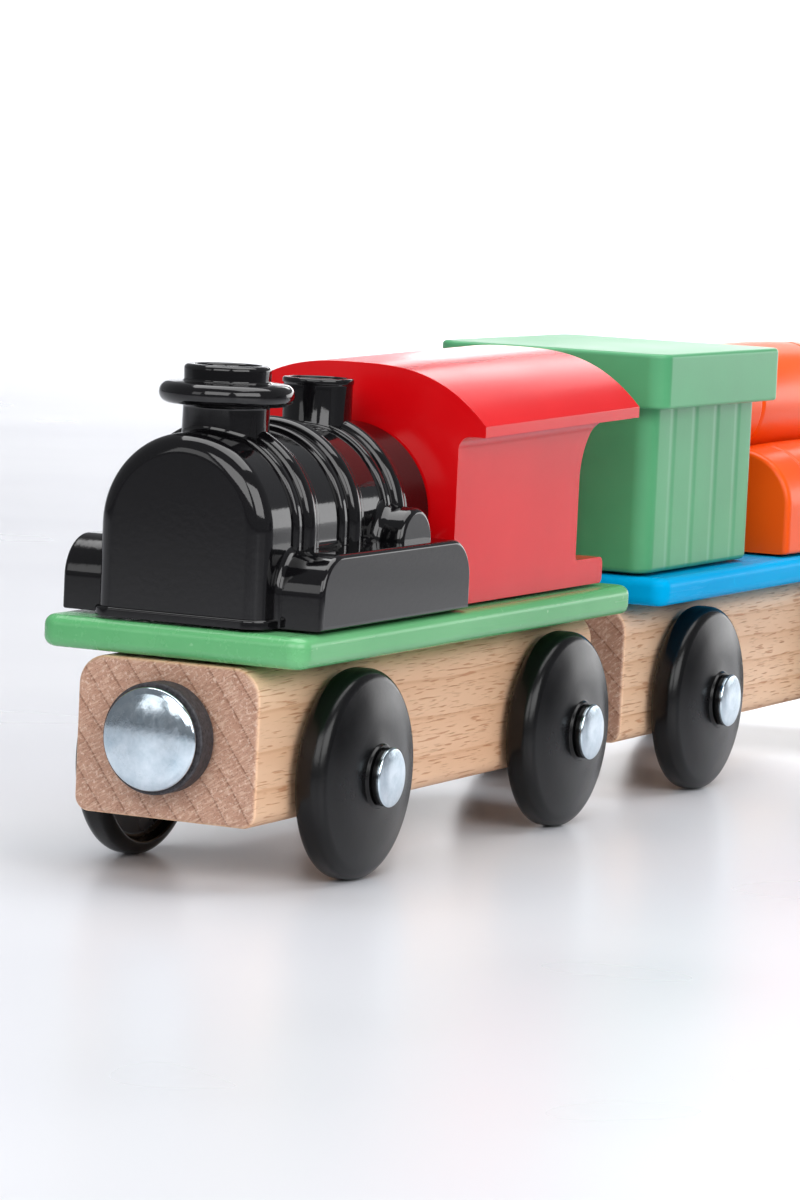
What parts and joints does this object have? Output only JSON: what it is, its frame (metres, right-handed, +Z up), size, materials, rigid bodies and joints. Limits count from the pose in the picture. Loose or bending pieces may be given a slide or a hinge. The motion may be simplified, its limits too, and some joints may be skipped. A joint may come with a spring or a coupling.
{
  "type": "toy train",
  "caption": "Wooden toy train: a steam locomotive and a goods wagon on free-running wheels, joined by magnetic couplings.",
  "frame": {"origin": "on the floor under the point where the two coupling studs between the vehicles meet, which is the middle of the train's base", "axes": "+X towards the locomotive's front, +Y to the train's left, +Z up"},
  "size_m": [0.1666, 0.0316, 0.0482],
  "materials": {
    "beech": "sanded beech, clear lacquer",
    "green_paint": "green gloss paint on wood",
    "blue_paint": "blue gloss paint on wood",
    "black_plastic": "glossy moulded black",
    "red_plastic": "satin moulded red",
    "green_plastic": "satin moulded green",
    "orange_plastic": "satin moulded orange",
    "wheel_plastic": "satin moulded black",
    "zinc": "bright zinc-plated steel",
    "ferrite": "dark grey sintered ferrite",
    "screw_steel": "plain steel"
  },
  "bodies": {
    "locomotive": {"locomotive_block": "beech", "locomotive_plate": "green_paint", "boiler": "black_plastic", "cab": "red_plastic", "locomotive_front_axle": "screw_steel", "locomotive_front_left_axle_cap": "zinc", "locomotive_front_right_axle_cap": "zinc", "locomotive_front_magnet": "ferrite", "locomotive_front_coupling_stud": "zinc", "locomotive_rear_axle": "screw_steel", "locomotive_rear_left_axle_cap": "zinc", "locomotive_rear_right_axle_cap": "zinc", "locomotive_rear_magnet": "ferrite", "locomotive_rear_coupling_stud": "zinc", "locomotive_boiler_left_screw": "screw_steel", "locomotive_boiler_right_screw": "screw_steel", "locomotive_cab_left_screw": "screw_steel", "locomotive_cab_right_screw": "screw_steel"},
    "wagon": {"wagon_block": "beech", "wagon_plate": "blue_paint", "crate": "green_plastic", "barrel_stack": "orange_plastic", "wagon_front_axle": "screw_steel", "wagon_front_left_axle_cap": "zinc", "wagon_front_right_axle_cap": "zinc", "wagon_front_magnet": "ferrite", "wagon_front_coupling_stud": "zinc", "wagon_rear_axle": "screw_steel", "wagon_rear_left_axle_cap": "zinc", "wagon_rear_right_axle_cap": "zinc", "wagon_rear_magnet": "ferrite", "wagon_rear_coupling_stud": "zinc", "wagon_crate_left_screw": "screw_steel", "wagon_crate_right_screw": "screw_steel", "wagon_barrel_left_screw": "screw_steel", "wagon_barrel_right_screw": "screw_steel"},
    "locomotive_front_left_wheel": {"locomotive_front_left_wheel": "wheel_plastic"},
    "locomotive_front_right_wheel": {"locomotive_front_right_wheel": "wheel_plastic"},
    "locomotive_rear_left_wheel": {"locomotive_rear_left_wheel": "wheel_plastic"},
    "locomotive_rear_right_wheel": {"locomotive_rear_right_wheel": "wheel_plastic"},
    "wagon_front_left_wheel": {"wagon_front_left_wheel": "wheel_plastic"},
    "wagon_front_right_wheel": {"wagon_front_right_wheel": "wheel_plastic"},
    "wagon_rear_left_wheel": {"wagon_rear_left_wheel": "wheel_plastic"},
    "wagon_rear_right_wheel": {"wagon_rear_right_wheel": "wheel_plastic"}
  },
  "joints": [
    {"name": "wagon_swing", "type": "hinge", "parent": "locomotive", "child": "wagon", "pos_m": [0, 0, 0.0139], "axis": [0, 0, 1], "range_deg": [-15, 15]},
    {"name": "locomotive_front_left_wheel_spin", "type": "hinge", "parent": "locomotive", "child": "locomotive_front_left_wheel", "pos_m": [0.06315, 0.0122, 0.01], "axis": [0, 1, 0], "continuous": true},
    {"name": "locomotive_front_right_wheel_spin", "type": "hinge", "parent": "locomotive", "child": "locomotive_front_right_wheel", "pos_m": [0.06315, -0.0122, 0.01], "axis": [0, 1, 0], "continuous": true},
    {"name": "locomotive_rear_left_wheel_spin", "type": "hinge", "parent": "locomotive", "child": "locomotive_rear_left_wheel", "pos_m": [0.01685, 0.0122, 0.01], "axis": [0, 1, 0], "continuous": true},
    {"name": "locomotive_rear_right_wheel_spin", "type": "hinge", "parent": "locomotive", "child": "locomotive_rear_right_wheel", "pos_m": [0.01685, -0.0122, 0.01], "axis": [0, 1, 0], "continuous": true},
    {"name": "wagon_front_left_wheel_spin", "type": "hinge", "parent": "wagon", "child": "wagon_front_left_wheel", "pos_m": [-0.02025, 0.0122, 0.01], "axis": [0, 1, 0], "continuous": true},
    {"name": "wagon_front_right_wheel_spin", "type": "hinge", "parent": "wagon", "child": "wagon_front_right_wheel", "pos_m": [-0.02025, -0.0122, 0.01], "axis": [0, 1, 0], "continuous": true},
    {"name": "wagon_rear_left_wheel_spin", "type": "hinge", "parent": "wagon", "child": "wagon_rear_left_wheel", "pos_m": [-0.06655, 0.0122, 0.01], "axis": [0, 1, 0], "continuous": true},
    {"name": "wagon_rear_right_wheel_spin", "type": "hinge", "parent": "wagon", "child": "wagon_rear_right_wheel", "pos_m": [-0.06655, -0.0122, 0.01], "axis": [0, 1, 0], "continuous": true}
  ]
}
